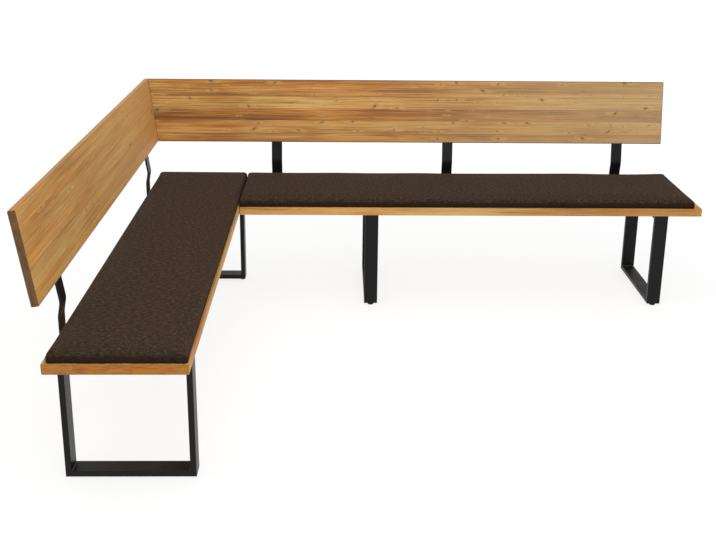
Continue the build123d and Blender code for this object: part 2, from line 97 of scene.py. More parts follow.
class Signal:
    """A socket of a shader, with arithmetic that adds Math nodes."""

    def __init__(self, shader: "Shader", socket: bpy.types.NodeSocket) -> None:
        """Wrap one output socket of a shader."""
        self.shader = shader
        self.socket = socket

    def math(self, operation: str, *values: Input) -> "Signal":
        """Add a Math node that works on the given values."""
        return self.shader.node("ShaderNodeMath", {"operation": operation}, dict(enumerate(values)))

    def __add__(self, other: Input) -> "Signal":
        """Return self + other."""
        return self.math("ADD", self, other)

    def __radd__(self, other: Input) -> "Signal":
        """Return other + self."""
        return self.math("ADD", other, self)

    def __sub__(self, other: Input) -> "Signal":
        """Return self - other."""
        return self.math("SUBTRACT", self, other)

    def __rsub__(self, other: Input) -> "Signal":
        """Return other - self."""
        return self.math("SUBTRACT", other, self)

    def __mul__(self, other: Input) -> "Signal":
        """Return self * other."""
        return self.math("MULTIPLY", self, other)

    def __rmul__(self, other: Input) -> "Signal":
        """Return other * self."""
        return self.math("MULTIPLY", other, self)

    def __truediv__(self, other: Input) -> "Signal":
        """Return self / other."""
        return self.math("DIVIDE", self, other)

    def __rtruediv__(self, other: Input) -> "Signal":
        """Return other / self."""
        return self.math("DIVIDE", other, self)

    def __pow__(self, other: Input) -> "Signal":
        """Return self raised to other."""
        return self.math("POWER", self, other)

    def __rpow__(self, other: Input) -> "Signal":
        """Return other raised to self."""
        return self.math("POWER", other, self)

    def __abs__(self) -> "Signal":
        """Return the size of self without its sign."""
        return self.math("ABSOLUTE", self)

    def above(self, edge: Input) -> "Signal":
        """Return 1 where self is greater than an edge, else 0."""
        return self.math("GREATER_THAN", self, edge)

    def smaller(self, other: Input) -> "Signal":
        """Return the smaller of self and other."""
        return self.math("MINIMUM", self, other)

    def larger(self, other: Input) -> "Signal":
        """Return the larger of self and other."""
        return self.math("MAXIMUM", self, other)

    def rise(self, low: Input, high: Input) -> "Signal":
        """Return a smooth step from 0 at low to 1 at high."""
        links = {"Value": self, "From Min": low, "From Max": high}
        return self.shader.node("ShaderNodeMapRange", {"interpolation_type": "SMOOTHSTEP"}, links)

    def ranged(self, least: float, more: float) -> "Signal":
        """Return least where self is 0, and that much more where it is 1."""
        return least + more * self

    def choose(self, yes: "Signal", no: "Signal") -> "Signal":
        """Return yes where self is 1 and no where it is 0."""
        return no + (yes - no) * self

    def hypot(self, other: "Signal") -> "Signal":
        """Return the distance that self and other reach at right angles."""
        return (self ** 2.0 + other ** 2.0) ** 0.5

    def output(self, name: str) -> "Signal":
        """Return another output of the node that self comes from."""
        return Signal(self.shader, self.socket.node.outputs[name])

    def parts(self) -> tuple["Signal", "Signal", "Signal"]:
        """Split a vector or colour into its three values."""
        first = self.shader.node("ShaderNodeSeparateXYZ", links={"Vector": self})
        return first, first.output("Y"), first.output("Z")


@dataclass(frozen=True)
class Mottle:
    """Soft noise."""

    scale: float = 1.0  # changes per metre
    detail: float = 2.0
    rough: float = 0.5
    shows: Pair | None = None  # values over which it comes up from 0 to 1


@dataclass(frozen=True)
class Streaks:
    """Soft noise that runs along the grain of wood."""

    lengthwise: float  # changes per metre along the grain
    crosswise: float  # changes per metre across it
    mottle: Mottle = Mottle()
    weight: float = 1.0  # how strongly it darkens the wood


@dataclass(frozen=True)
class Tint:
    """A colour that is laid over another."""

    colour: Colour
    share: float = 1.0  # how much of it shows where it is strongest
    blend: Blend = Blend.MIX


class Shader:
    """A node tree, written as expressions."""

    MIX_A, MIX_B, MIX_RESULT = 6, 7, 2  # a Mix node's sockets for colours

    def __init__(self, tree: bpy.types.NodeTree) -> None:
        """Take over a node tree."""
        self.tree = tree

    def node(
        self,
        kind: str,
        settings: Mapping[str, object] | None = None,
        links: Mapping[str | int, Input] | None = None,
        output: str | int = 0,
    ) -> Signal:
        """Add one node.

        Args:
            kind: the node's type.
            settings: properties of the node, or a ramp's stops, set before its sockets.
            links: values or signals for its input sockets, by name or number.
            output: the output socket to return.

        Returns:
            The output as a signal.
        """
        made = self.tree.nodes.new(kind)
        for key, value in (settings or {}).items():
            if key == "stops":
                self._set_stops(made.color_ramp.elements, value)
            else:
                setattr(made, key, value)
        for key, value in (links or {}).items():
            self.feed(made.inputs[key], value)
        return Signal(self, made.outputs[output])

    @staticmethod
    def _set_stops(elements: bpy.types.ColorRampElements, stops: Sequence[tuple[float, Colour]]) -> None:
        """Give a ramp its stops.

        Args:
            elements: the ramp's elements.
            stops: place and colour of each stop, in order.
        """
        while len(elements) < len(stops):
            elements.new(1.0)
        for element, (position, colour) in zip(elements, stops):
            element.position = position
            element.color = opaque(colour)

    def feed(self, socket: bpy.types.NodeSocket, value: Input) -> None:
        """Link a signal to a socket, or set the socket's own value.

        Args:
            socket: the input socket.
            value: the signal or value.
        """
        if isinstance(value, Signal):
            self.tree.links.new(value.socket, socket)
        else:
            socket.default_value = value

    def vector(self, x: Input, y: Input, z: Input) -> Signal:
        """Join three values into a vector."""
        return self.node("ShaderNodeCombineXYZ", links={0: x, 1: y, 2: z})

    def place(self) -> Signal:
        """Return the place on the piece, in the bench's frame at rest."""
        return self.node("ShaderNodeTexCoord", output="Object")

    def facing(self) -> Signal:
        """Return the direction that the surface faces, in the piece's own frame."""
        return self.node("ShaderNodeTexCoord", output="Normal")

    def along(self, vector: Signal, axis: Vector) -> Signal:
        """Return how far a vector reaches along an axis."""
        links = {0: vector, 1: tuple(axis)}
        return self.node("ShaderNodeVectorMath", {"operation": "DOT_PRODUCT"}, links, "Value")

    def minus(self, first: Input, second: Input) -> Signal:
        """Return the first vector less the second."""
        return self.node("ShaderNodeVectorMath", {"operation": "SUBTRACT"}, {0: first, 1: second})

    def noise(self, vector: Signal, kind: Mottle) -> Signal:
        """Return soft noise from 0 to 1.

        Args:
            vector: the place.
            kind: the kind of noise.

        Returns:
            The noise at that place.
        """
        links = {"Vector": vector, "Scale": kind.scale, "Detail": kind.detail, "Roughness": kind.rough}
        value = self.node("ShaderNodeTexNoise", links=links)
        return value.rise(*kind.shows) if kind.shows else value

    def ramp(self, value: Signal, stops: Sequence[tuple[float, Colour]]) -> Signal:
        """Return the colour that a value has on a ramp."""
        return self.node("ShaderNodeValToRGB", {"stops": stops}, {"Fac": value})

    def mix(self, first: Input, second: Input, share: Input, blend: Blend = Blend.MIX) -> Signal:
        """Mix two colours.

        Args:
            first: the colour at share 0.
            second: the colour at share 1.
            share: how much of the second shows.
            blend: how the second is laid over the first.

        Returns:
            The mixed colour.
        """
        settings = {"data_type": "RGBA", "blend_type": blend.value}
        links = {0: share, self.MIX_A: opaque(first), self.MIX_B: opaque(second)}
        return self.node("ShaderNodeMix", settings, links, self.MIX_RESULT)

    def lay(self, colour: Input, tint: Tint, mask: Signal) -> Signal:
        """Lay a tint over a colour where a mask is 1."""
        return self.mix(colour, tint.colour, mask * tint.share, tint.blend)

    def bump(self, height: Signal, distance: float, strength: float) -> Signal:
        """Return the normal of a surface that a height from 0 to 1 lifts by a distance."""
        links = {"Height": height, "Distance": distance, "Strength": strength}
        return self.node("ShaderNodeBump", links=links)


class MaterialShader(Shader):
    """The node tree of one material."""

    def __init__(self, name: str) -> None:
        """Start a material with a Principled shader.

        Args:
            name: the material's name.
        """
        self.material = bpy.data.materials.new(name)
        self.material.use_nodes = True
        super().__init__(self.material.node_tree)
        self.principled = self.tree.nodes["Principled BSDF"]

    def surface(self, **values: Input) -> bpy.types.Material:
        """Set the shader's own sockets and finish the material.

        Args:
            **values: values or signals, with socket names in lower case and underscores.

        Returns:
            The finished material.
        """
        sockets = {socket.name.lower().replace(" ", "_"): socket for socket in self.principled.inputs}
        for name, value in values.items():
            self.feed(sockets[name], value)
        return self.material


def opaque(colour: Input) -> Input:
    """Give a plain colour its fourth value, and leave a signal as it is."""
    return colour if isinstance(colour, Signal) else (*colour, 1.0)


@dataclass(frozen=True)
class Stave:
    """One of the staves that a board is glued up from."""

    width: float
    tone: float  # 0 for the palest wood and 1 for the brownest
    knots: float  # share of the places for a knot that hold one


@dataclass(frozen=True)
class Timber:
    """What a board is glued up from, and how it is finished."""

    staves: tuple[Stave, ...]  # from the front or lower edge
    lot: float  # sets its wood apart from the other boards'
    figure: float  # strength of the grain
    sawn: Tint
    edge_darkness: float  # darkness of the painted shade along the eased edges, and of the darker narrow edges
    fade: Tint = Tint((1.0, 1.0, 1.0), share=0.0)  # tone towards the end of its length, which on the short backrest is painted light against the corner's shade


@dataclass(frozen=True)
class Board:
    """Where one board lies."""

    node: str
    corner: Vector  # where its three directions start
    axes: tuple[Vector, Vector, Vector]  # along the grain, across the face and through the board
    size: tuple[float, float, float]  # along these axes
    timber: Timber

    @property
    def joints(self) -> list[float]:
        """Places across the board where two staves meet."""
        staves = self.timber.staves
        return [sum(stave.width for stave in staves[:count]) for count in range(1, len(staves))]

    @property
    def middles(self) -> list[float]:
        """Places across the board where each stave has its middle."""
        ends = [0.0, *self.joints, self.size[1]]
        return [(low + high) / 2 for low, high in zip(ends, ends[1:])]


class BoardShader(MaterialShader):
    """The node tree of one board's wood, which knows where a place lies in its staves.

    Attributes:
        board: the board.
        inside: place along, across and through the board.
        chance: three numbers from 0 to 1 that differ from stave to stave.
        end: 1 on the sawn ends and 0 elsewhere.
        edge: 1 on the narrow edges and 0 elsewhere.
        face: 1 on the wide faces, clear of the sawn ends, and 0 elsewhere.
        grain: place along, across and through a stave's own grain.
    """

    END_FACING: Pair = (0.6, 0.8)
    EDGE_FACING: Pair = (0.3, 0.5)
    END_MARGIN: Pair = (0.012, 0.025)
    LENGTH_SHIFT, CROSS_SHIFT = 5.0, 2.0  # most that a stave's grain is moved by chance

    def __init__(self, board: Board) -> None:
        """Start the material of a board.

        Args:
            board: where the board lies and what it is glued up from.
        """
        super().__init__(board.node)
        self.board = board
        local = self.minus(self.place(), tuple(board.corner))
        self.inside = [self.along(local, axis) for axis in board.axes]
        length, width, depth = self.inside
        number = self.by_stave(range(len(board.timber.staves))) + board.timber.lot
        chance = self.node("ShaderNodeTexWhiteNoise", {"noise_dimensions": "1D"}, {"W": number}, "Color")
        self.chance = chance.parts()
        self.end = abs(self.along(self.facing(), board.axes[0])).rise(*self.END_FACING)
        self.edge = abs(self.along(self.facing(), board.axes[1])).rise(*self.EDGE_FACING)
        clear = length.smaller(board.size[0] - length).rise(*self.END_MARGIN)
        self.face = (1.0 - self.edge.larger(self.end)) * clear
        first, second, third = self.chance
        self.grain = (
            self.end.choose(width, length + first * self.LENGTH_SHIFT),
            self.end.choose(depth, width) + second * self.CROSS_SHIFT,
            self.end.choose(length, depth) + third * self.CROSS_SHIFT,
        )

    def by_stave(self, values: Sequence[float]) -> Signal:
        """Look up a value of the stave that a place lies in.

        Args:
            values: one value for each stave.

        Returns:
            The stave's value.
        """
        result: Input = values[0]
        for joint, before, after in zip(self.board.joints, values, values[1:]):
            result = self.inside[1].above(joint) * float(after - before) + result
        return result

    def streaks(self, kind: Streaks) -> Signal:
        """Return noise that runs along the grain.

        Args:
            kind: the kind of streaks.

        Returns:
            The noise, from 0 to 1.
        """
        length, width, depth = self.grain
        place = self.vector(length * kind.lengthwise, width * kind.crosswise, depth * kind.crosswise)
        return self.noise(place, kind.mottle)


@dataclass(frozen=True)
class Knots:
    """Knots in the faces of a board, with the bark round them and the pale wood beside them."""

    cell: Pair = (0.100, 0.038)  # room of a knot along and across the grain
    scatter: float = 0.95
    radius: Pair = (0.0015, 0.0052)  # least, and how much more
    growth: float = 2.2  # power by which large knots are rarer
    turn: float = 1.3  # between the most turned knots, in radians
    stretch: Pair = (1.2, 2.6)  # least length in widths, and how much more
    strength: Pair = (0.30, 0.70)  # least, and how much more
    ragged: Mottle = Mottle(260.0)
    ragged_by: Pair = (0.005, 0.004)  # along and across the grain
    tail: Pair = (6.0, 1.2)  # reach of the dark grain beside a knot, in radii
    tail_share: float = 0.60
    heart_ends: Pair = (0.25, 1.05)  # distances in radii
    bark_ends: Pair = (0.60, 2.80)  # distances in radii
    tail_ends: Pair = (0.30, 1.90)  # distances in the tail's reach
    halo_ends: Pair = (0.8, 2.4)  # distances in the tail's reach

    def draw(self, wood: BoardShader) -> tuple[Signal, Signal, Signal]:
        """Scatter the knots over the faces of a board.

        Args:
            wood: the board's shader.

        Returns:
            The hearts of the knots, the bark round them and the pale wood beside them.
        """
        long_cell, wide_cell = self.cell
        cell = wood.vector(wood.grain[0] / long_cell, wood.grain[1] / wide_cell, 0.0)
        links = {"Vector": cell, "Scale": 1.0, "Randomness": self.scatter}
        nearest = wood.node("ShaderNodeTexVoronoi", {"voronoi_dimensions": "2D"}, links, "Position")
        present, size, turn = nearest.output("Color").parts()
        right, up, _ = wood.minus(cell, nearest).parts()
        ragged = wood.noise(wood.vector(*wood.grain), self.ragged) - 0.5
        right = right * long_cell + ragged * self.ragged_by[0]
        up = up * wide_cell + ragged * self.ragged_by[1]
        angle = (turn - 0.5) * self.turn
        cosine, sine = angle.math("COSINE", angle), angle.math("SINE", angle)
        lengthwise = (right * cosine + up * sine) / present.ranged(*self.stretch)
        crosswise = up * cosine - right * sine
        radius = (size ** self.growth).ranged(*self.radius)
        near = lengthwise.hypot(crosswise) / radius
        beside = (right / self.tail[0]).hypot(up / self.tail[1]) / radius
        share = wood.by_stave([stave.knots for stave in wood.board.timber.staves])
        there = (1.0 - present.above(share)) * wood.face
        dark = there * size.larger(turn ** 2.0).ranged(*self.strength)
        heart = dark * (1.0 - near.rise(*self.heart_ends))
        tail = (1.0 - beside.rise(*self.tail_ends)) * self.tail_share
        bark = dark * tail.larger(1.0 - near.rise(*self.bark_ends))
        halo = there * (1.0 - beside.rise(*self.halo_ends))
        return heart, bark, halo


@dataclass(frozen=True)
class GrowthRings:
    """The growth rings of the trunk that a stave was cut from."""

    gap: Pair = (0.0026, 0.0024)  # least, and how much more
    aside: float = 0.09  # width in which the trunk's heart lies beside a stave
    below: Pair = (0.045, 0.10)  # least depth of the heart, and how much more
    slope: float = 0.03
    wander: Streaks = Streaks(1.1, 3.0)
    wander_by: Pair = (0.05, 0.03)  # across and through the board
    waver: Streaks = Streaks(7.0, 60.0)
    waver_by: float = 0.0016
    knot_bend: float = 0.006
    rises: Pair = (0.40, 0.90)  # shares of the gap
    falls: Pair = (0.92, 1.0)  # shares of the gap

    def draw(self, wood: BoardShader, halo: Signal) -> Signal:
        """Draw the rings.

        Args:
            wood: the board's shader.
            halo: 1 where a knot bends the rings and 0 elsewhere.

        Returns:
            1 on the hard late wood and 0 between the rings.
        """
        first, second, third = wood.chance
        _, width, depth = wood.inside
        wander = wood.streaks(self.wander) - 0.5
        waver = wood.streaks(self.waver) - 0.5
        across = width - wood.by_stave(wood.board.middles)
        side = across + (first - 0.5) * self.aside + wander * self.wander_by[0]
        sloped = wood.grain[0] * ((third - 0.5) * self.slope)
        down = depth + second.ranged(*self.below) + sloped + wander * self.wander_by[1]
        radius = side.hypot(down) + waver * self.waver_by + halo * self.knot_bend
        turn = radius.math("FRACT", radius / third.ranged(*self.gap))
        return turn.rise(*self.rises) * (1.0 - turn.rise(*self.falls))


@dataclass(frozen=True)
class OiledWood:
    """Oiled softwood glued up from staves, with growth rings, streaks, knots and fine cracks."""

    knots: Knots = Knots()
    rings: GrowthRings = GrowthRings()
    ring_weight: float = 0.12
    figure: tuple[Streaks, ...] = (  # patches, bands and streaks
        Streaks(2.4, 7.0),
        Streaks(0.9, 26.0, Mottle(detail=3.0), weight=1.1),
        Streaks(1.5, 120.0, Mottle(detail=4.0, rough=0.65)),
    )
    line: Streaks = Streaks(4.0, 330.0, Mottle(detail=3.0, rough=0.7), weight=1.9)
    fibre: Streaks = Streaks(18.0, 1300.0)
    warm: Streaks = Streaks(0.7, 16.0, Mottle(shows=(0.40, 0.66)))  # resin-rich wood
    cool: Streaks = Streaks(1.3, 34.0, Mottle(rough=0.6, shows=(0.50, 0.72)))  # greyer streaks
    pores: Streaks = Streaks(26.0, 190.0, Mottle(detail=3.0, rough=0.6, shows=(0.40, 0.64)))  # on sawn ends
    cracks: Streaks = Streaks(24.0, 360.0, Mottle(detail=1.0, shows=(0.645, 0.72)))  # and resin pockets
    cracked: Streaks = Streaks(2.6, 13.0, Mottle(detail=1.0, shows=(0.44, 0.60)))  # patches with cracks
    tones: tuple[tuple[float, Colour], ...] = (  # from the palest wood to the brownest
        (0.00, (0.60, 0.390, 0.150)),
        (0.28, (0.50, 0.275, 0.074)),
        (0.50, (0.40, 0.190, 0.045)),
        (0.74, (0.27, 0.118, 0.032)),
        (1.00, (0.15, 0.060, 0.018)),
    )
    amber: Tint = Tint((1.05, 0.82, 0.56), 0.75, Blend.MULTIPLY)
    mauve: Tint = Tint((0.78, 0.74, 0.92), 0.55, Blend.MULTIPLY)
    pale: Tint = Tint((0.66, 0.43, 0.14), 0.50)  # beside a knot
    pore: Tint = Tint((0.72, 0.62, 0.62), blend=Blend.MULTIPLY)
    bark: Tint = Tint((0.215, 0.080, 0.034), 0.60)
    heart: Tint = Tint((0.105, 0.032, 0.016), 0.85)
    glue: Tint = Tint((0.215, 0.080, 0.034), 0.40)
    glue_line: Pair = (0.0003, 0.0012)
    arris_shade: Colour = (0.090, 0.042, 0.018)  # painted shade along the eased edges
    arris_shade_ends: Pair = (0.0016, 0.0048)
    narrow_darkening: float = 0.45  # share of that darkening on the narrow edges
    end_tone_reach: Pair = (0.3, 1.0)  # shares of a board's length
    roughness: float = 0.52
    fibre_roughness: float = 0.16
    ring_gloss: float = 0.06  # less roughness on the hard late wood
    specular: float = 0.25
    relief: Pair = (0.0006, 0.35)  # height and strength
    ring_relief: float = 0.4  # shares of that height
    fibre_relief: float = 0.4
    line_relief: float = 0.2
    heart_sink: float = 0.4

    def material(self, board: Board) -> bpy.types.Material:
        """Make the wood of one board.

        Args:
            board: where the board lies and what it is glued up from.

        Returns:
            The material.
        """
        wood = BoardShader(board)
        timber = board.timber
        heart, bark, halo = self.knots.draw(wood)
        rings = self.rings.draw(wood, halo)
        line, fibre = wood.streaks(self.line), wood.streaks(self.fibre)
        figure = (line - 0.5) * self.line.weight + rings * self.ring_weight
        for kind in self.figure:
            figure = figure + (wood.streaks(kind) - 0.5) * kind.weight
        tone = wood.by_stave([stave.tone for stave in timber.staves]) + figure * timber.figure
        layers = (
            (self.amber, wood.streaks(self.warm)),
            (self.mauve, wood.streaks(self.cool)),
            (timber.fade, (wood.inside[0] / board.size[0]).rise(*self.end_tone_reach)),
            (self.pale, halo),
            (timber.sawn, wood.end),
            (self.pore, wood.end * wood.streaks(self.pores)),
            (self.bark, wood.streaks(self.cracks) * wood.streaks(self.cracked)),
            (self.bark, bark),
            (self.heart, heart),
        )
        colour = wood.ramp(tone, self.tones)
        for tint, mask in layers:
            colour = wood.lay(colour, tint, mask)
        height = rings * self.ring_relief + fibre * self.fibre_relief + line * self.line_relief
        return wood.surface(
            base_color=self._edges(wood, colour),
            roughness=self.roughness + fibre * self.fibre_roughness - rings * self.ring_gloss,
            normal=wood.bump(height - heart * self.heart_sink, *self.relief),
            specular_ior_level=self.specular,
        )

    def _edges(self, wood: BoardShader, colour: Signal) -> Signal:
        """Darken the glue lines and the narrow edges, and paint shade along the eased edges.

        Args:
            wood: the board's shader.
            colour: the wood's colour so far.

        Returns:
            The colour with its edges.
        """
        board = wood.board
        lengthwise = 1.0 - wood.end
        for joint in board.joints:
            line = 1.0 - abs(wood.inside[1] - joint).rise(*self.glue_line)
            colour = wood.lay(colour, self.glue, line * lengthwise)
        first, second, third = (at.smaller(size - at) for at, size in zip(wood.inside, board.size))
        second_least = first.smaller(second).larger(first.larger(second).smaller(third))
        edge_darkness = Tint(self.arris_shade, board.timber.edge_darkness)
        # painted shade: darker within a few millimetres of each eased edge
        colour = wood.lay(colour, edge_darkness, 1.0 - second_least.rise(*self.arris_shade_ends))
        return wood.lay(colour, edge_darkness, wood.edge * self.narrow_darkening)


@dataclass(frozen=True)
class PowderCoat:
    """Satin black powder coat on steel."""

    black: Colour = (0.0062, 0.0056, 0.0056)
    dust: Colour = (0.040, 0.034, 0.029)
    dusty: float = 0.40  # share of dust on faces that look up
    upward: Pair = (0.4, 0.9)
    settled: Pair = (0.30, 0.70)  # patches on which it lies
    speckled: float = 0.16  # share of it in specks all over
    dimples: Mottle = Mottle(650.0)
    patches: Mottle = Mottle(9.0, 4.0, 0.6)  # where the coat is duller
    speckle: Mottle = Mottle(240.0, 3.0, 0.7, (0.60, 0.76))
    roughness: float = 0.32
    patch_roughness: float = 0.12
    dust_roughness: float = 0.15
    specular: float = 0.17
    relief: Pair = (0.0004, 0.30)  # height and strength

    def material(self, name: str) -> bpy.types.Material:
        """Make the coat.

        Args:
            name: the material's name.

        Returns:
            The material.
        """
        shader = MaterialShader(name)
        place = shader.place()
        patches = shader.noise(place, self.patches)
        _, _, up = shader.facing().parts()
        dusty = up.rise(*self.upward) * patches.rise(*self.settled)
        share = dusty * self.dusty + shader.noise(place, self.speckle) * self.speckled
        return shader.surface(
            base_color=shader.mix(self.black, self.dust, share),
            roughness=self.roughness + patches * self.patch_roughness + dusty * self.dust_roughness,
            normal=shader.bump(shader.noise(place, self.dimples), *self.relief),
            specular_ior_level=self.specular,
        )


@dataclass(frozen=True)
class SpottedFinish:
    """A fine-grained finish with spots of another colour."""

    colour: Colour
    spot: Tint
    spots: Mottle
    grain: Mottle
    relief: Pair  # height and strength of the grain
    roughness: Pair  # least, and how much more in a spot
    metallic: float = 0.0
    specular: float = 0.5

    def material(self, name: str) -> bpy.types.Material:
        """Make the finish.

        Args:
            name: the material's name.

        Returns:
            The material.
        """
        shader = MaterialShader(name)
        place = shader.place()
        spots = shader.noise(place, self.spots)
        return shader.surface(
            base_color=shader.lay(self.colour, self.spot, spots),
            metallic=self.metallic,
            roughness=spots.ranged(*self.roughness),
            normal=shader.bump(shader.noise(place, self.grain), *self.relief),
            specular_ior_level=self.specular,
        )


@dataclass(frozen=True)
class MouldedPlastic(SpottedFinish):
    """Black moulded plastic of the levelling feet, with pale scuffs."""

    colour: Colour = (0.012, 0.012, 0.013)
    spot: Tint = Tint((0.06, 0.058, 0.055), 0.5)
    spots: Mottle = Mottle(130.0, 4.0, 0.65, (0.56, 0.74))
    grain: Mottle = Mottle(1800.0)
    relief: Pair = (0.0002, 0.4)
    roughness: Pair = (0.55, 0.2)
    specular: float = 0.3


@dataclass(frozen=True)
class ZincPlate(SpottedFinish):
    """Bright zinc on screws, studs and rivet nuts, dull in places."""

    colour: Colour = (0.62, 0.62, 0.60)
    spot: Tint = Tint((0.38, 0.38, 0.37))
    spots: Mottle = Mottle(320.0, 4.0, 0.6, (0.42, 0.68))
    grain: Mottle = Mottle(2600.0, 1.0)
    relief: Pair = (0.0001, 0.3)
    roughness: Pair = (0.28, 0.22)
    metallic: float = 1.0


@dataclass(frozen=True)
class WovenFabric:
    """Dark brown furnishing fabric in a plain weave of mottled yarns."""

    # the darkest yarn, also the colour of the painted shade on the sides and in the weave's gaps
    shade: Colour = (0.0120, 0.0072, 0.0044)
    body: Colour = (0.0445, 0.0276, 0.0182)
    fleck: Colour = (0.1120, 0.0745, 0.0510)
    yarn: float = 0.0023  # from one yarn to the next
    drift: float = 60.0  # changes per metre along a yarn
    weft_start: float = 4.0  # sets the weft's noise apart from the warp's
    slub: Pair = (0.015, 0.0048)  # length and height of a thicker stretch
    cloud: Mottle = Mottle(85.0, 5.0, 0.8)
    cloud_stretch: float = 0.8  # changes across for one upwards
    weights: tuple[float, float, float] = (0.28, 0.28, 0.44)  # of the yarns, the slubs and the clouds
    body_ends: Pair = (0.36, 0.52)  # tones
    fleck_ends: Pair = (0.50, 0.66)  # tones
    gap_shade_ends: Pair = (0.0, 0.35)
    gap_shade_share: float = 0.45
    downturn_shade_facing: Pair = (-0.25, 0.80)
    downturn_shade_share: float = 0.92  # painted shade on sides that turn down from the light
    flat_facing: float = 0.55  # how far up an upper panel looks
    roughness: Pair = (0.88, 0.1)  # least, and how much more
    specular: float = 0.05
    sheen: float = 0.07
    sheen_roughness: float = 0.40
    sheen_tint: Colour = (0.80, 0.55, 0.40)
    relief: Pair = (0.0008, 0.8)  # height and strength
    yarn_relief: float = 0.6  # shares of that height
    tone_relief: float = 0.4

    def material(self, name: str) -> bpy.types.Material:
        """Make the fabric, with its yarns laid flat on each face of a cushion.

        Args:
            name: the material's name.

        Returns:
            The material.
        """
        shader = MaterialShader(name)
        x, y, z = shader.place().parts()
        *sideways, upward = shader.facing().parts()
        facing_x, facing_y, facing_z = (abs(part) for part in (*sideways, upward))
        flat = facing_z.above(self.flat_facing)
        across = flat.choose(x, facing_x.above(facing_y).choose(y, x))
        up = flat.choose(y, z)

        crossing = self._wave(across) * self._wave(up)
        plain = Mottle(detail=1.0)
        warp = shader.noise(shader.vector(across / self.yarn, up * self.drift, 0.0), plain)
        weft = shader.noise(shader.vector(across * self.drift, up / self.yarn, self.weft_start), plain)
        yarn = crossing.above(0.0).choose(warp, weft)
        slubs = shader.noise(shader.vector(across / self.slub[0], up / self.slub[1], 0.0), plain)
        cloud = shader.noise(shader.vector(across * self.cloud_stretch, up, 0.0), self.cloud)
        yarn_weight, slub_weight, cloud_weight = self.weights
        tone = yarn * yarn_weight + slubs * slub_weight + cloud * cloud_weight
        # painted shade in the gaps between the yarns
        gap = 1.0 - abs(crossing).rise(*self.gap_shade_ends)
        # painted shade: the further a side turns down, the darker it is painted
        low = 1.0 - upward.rise(*self.downturn_shade_facing)

        colour = shader.mix(self.shade, self.body, tone.rise(*self.body_ends))
        colour = shader.mix(colour, self.fleck, tone.rise(*self.fleck_ends))
        colour = shader.mix(colour, self.shade, gap * self.gap_shade_share)
        colour = shader.mix(colour, self.shade, low * self.downturn_shade_share)
        height = abs(crossing) ** 0.5 * self.yarn_relief + tone * self.tone_relief
        return shader.surface(
            base_color=colour,
            roughness=yarn.ranged(*self.roughness),
            normal=shader.bump(height, *self.relief),
            specular_ior_level=self.specular,
            sheen_weight=self.sheen,
            sheen_roughness=self.sheen_roughness,
            sheen_tint=opaque(self.sheen_tint),
        )

    def _wave(self, place: Signal) -> Signal:
        """Return the rise and fall of the yarns that lie side by side."""
        return place.math("SINE", place * (math.pi / self.yarn))


@dataclass
class PlankBoards:
    """The seat boards and the backrest boards."""

    finish: OiledWood = OiledWood()
    lean: float = math.radians(8.5)  # of the backrests
    backrest_height: float = 0.300  # along the lean
    backrest_thickness: float = 0.024
    long_seat: Timber = Timber(
        staves=(
            Stave(0.072, 0.23, 0.40),
            Stave(0.096, 0.37, 0.45),
            Stave(0.078, 0.29, 0.45),
            Stave(0.099, 0.43, 0.40),
            Stave(0.095, 0.33, 0.45),
        ),
        lot=11.0,
        figure=0.9,
        sawn=Tint((0.36, 0.130, 0.010), 0.85),
        edge_darkness=0.10,
    )
    short_seat: Timber = replace(long_seat, lot=51.0)
    long_backrest: Timber = Timber(
        staves=(
            Stave(0.042, 0.41, 0.25),
            Stave(0.063, 0.25, 0.75),
            Stave(0.057, 0.61, 0.30),
            Stave(0.057, 0.25, 0.32),
            Stave(0.081, 0.41, 0.45),
        ),
        lot=31.0,
        figure=1.0,
        sawn=Tint((0.070, 0.034, 0.014), 0.85),
        edge_darkness=0.80,
        fade=Tint((0.45, 0.315, 0.165), 0.55),
    )
    short_backrest: Timber = replace(
        long_backrest,
        staves=(
            Stave(0.048, 0.23, 0.12),
            Stave(0.070, 0.31, 0.20),
            Stave(0.058, 0.27, 0.22),
            Stave(0.066, 0.35, 0.20),
            Stave(0.058, 0.29, 0.18),
        ),
        lot=71.0,
        figure=0.62,
        edge_darkness=0.35,
        # painted light: lighter and redder towards the corner, against the shade that falls there
        fade=Tint((0.69, 0.36, 0.125), 0.60),
    )

    def dress(self) -> list[str]:
        """Give each board its own wood.

        Returns:
            The boards' names.
        """
        boards = (
            self.seat(Side.LONG, self.long_seat),
            self.backrest(Side.LONG, self.long_backrest),
            self.seat(Side.SHORT, self.short_seat),
            self.backrest(Side.SHORT, self.short_backrest),
        )
        return [name for board in boards for name in paint((board.node,), self.finish.material(board))]

    def seat(self, side: Side, timber: Timber) -> Board:
        """Find where a seat board lies, from its lower front edge.

        Args:
            side: the board's side of the bench.
            timber: what it is made of.

        Returns:
            The board.
        """
        node = f"{side.value}_seat_board"
        corner, size = self._reach(side, node)
        return Board(node, corner, (side.along, side.back, UP), size, timber)

    def backrest(self, side: Side, timber: Timber) -> Board:
        """Find where a backrest board lies, from its lower front edge.

        Args:
            side: the board's side of the bench.
            timber: what it is made of.

        Returns:
            The board.
        """
        node = f"{side.value}_backrest_board"
        corner, (length, _, _) = self._reach(side, node)
        sine, cosine = math.sin(self.lean), math.cos(self.lean)
        corner = corner + UP * (self.backrest_thickness * sine)
        axes = (side.along, side.back * sine + UP * cosine, side.back * cosine - UP * sine)
        size = (length, self.backrest_height, self.backrest_thickness)
        return Board(node, corner, axes, size, timber)

    @staticmethod
    def _reach(side: Side, node: str) -> tuple[Vector, tuple[float, float, float]]:
        """Measure a board's box.

        Args:
            side: the board's side of the bench.
            node: the board's name.

        Returns:
            The lower front corner that the board starts from, and its reach along, back and up.
        """
        low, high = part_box(node)
        span = high - low
        corner = Vector((low.x if side is Side.LONG else high.x, low.y, low.z))
        return corner, (abs(span.dot(side.along)), abs(span.dot(side.back)), span.z)


